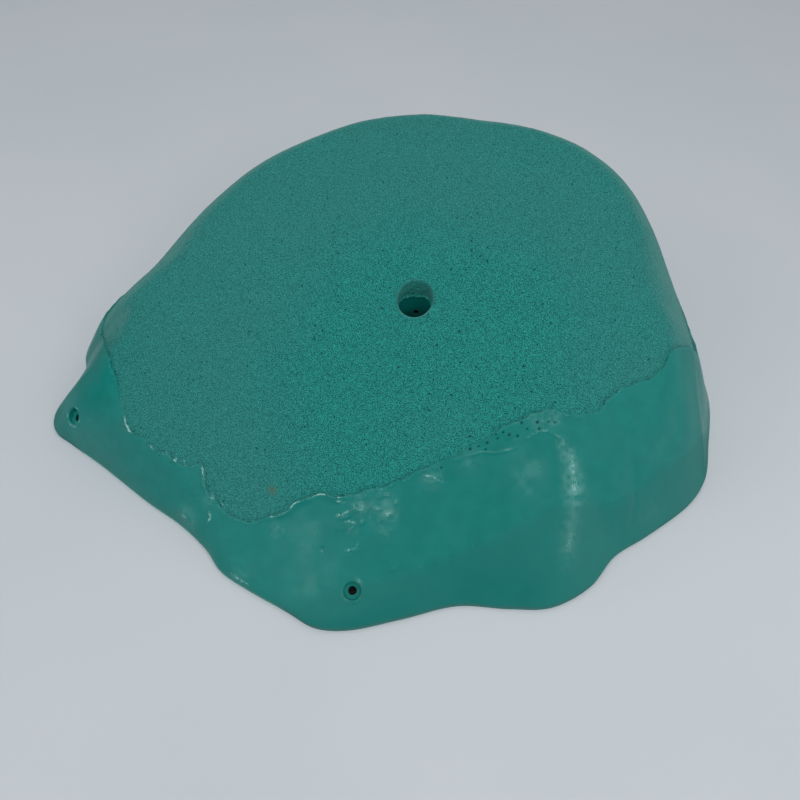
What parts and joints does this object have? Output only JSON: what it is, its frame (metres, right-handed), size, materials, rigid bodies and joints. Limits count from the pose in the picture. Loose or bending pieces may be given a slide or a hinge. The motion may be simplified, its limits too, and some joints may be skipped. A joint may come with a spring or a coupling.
{
  "type": "climbing hold",
  "caption": "Large bolt-on climbing hold: a domed, irregular casting with a pitted gripping top, a smooth sloping skirt and a flat, hollow, ribbed back.",
  "frame": {"origin": "middle of the hold's outline, on the plane of its flat back, which is the face of the climbing wall", "axes": "+X along the hold's longest side, to the right as seen from in front of the wall; +Y across it, towards the tall end of the gripping top; +Z straight out of the wall"},
  "size_m": [0.4212, 0.3382, 0.1235],
  "materials": {
    "polyurethane": "teal-green cast polyurethane, fine foam-like pits on the gripping top and a smooth satin skirt",
    "bolt_washer_steel": "zinc-plated steel, dull and slightly stained",
    "screw_washer_steel": "zinc-plated steel, dull"
  },
  "bodies": {
    "root": {"hold_shell": "polyurethane", "bolt_washer": "bolt_washer_steel", "screw_washer_front": "screw_washer_steel", "screw_washer_left": "screw_washer_steel", "screw_washer_back": "screw_washer_steel"}
  },
  "joints": []
}
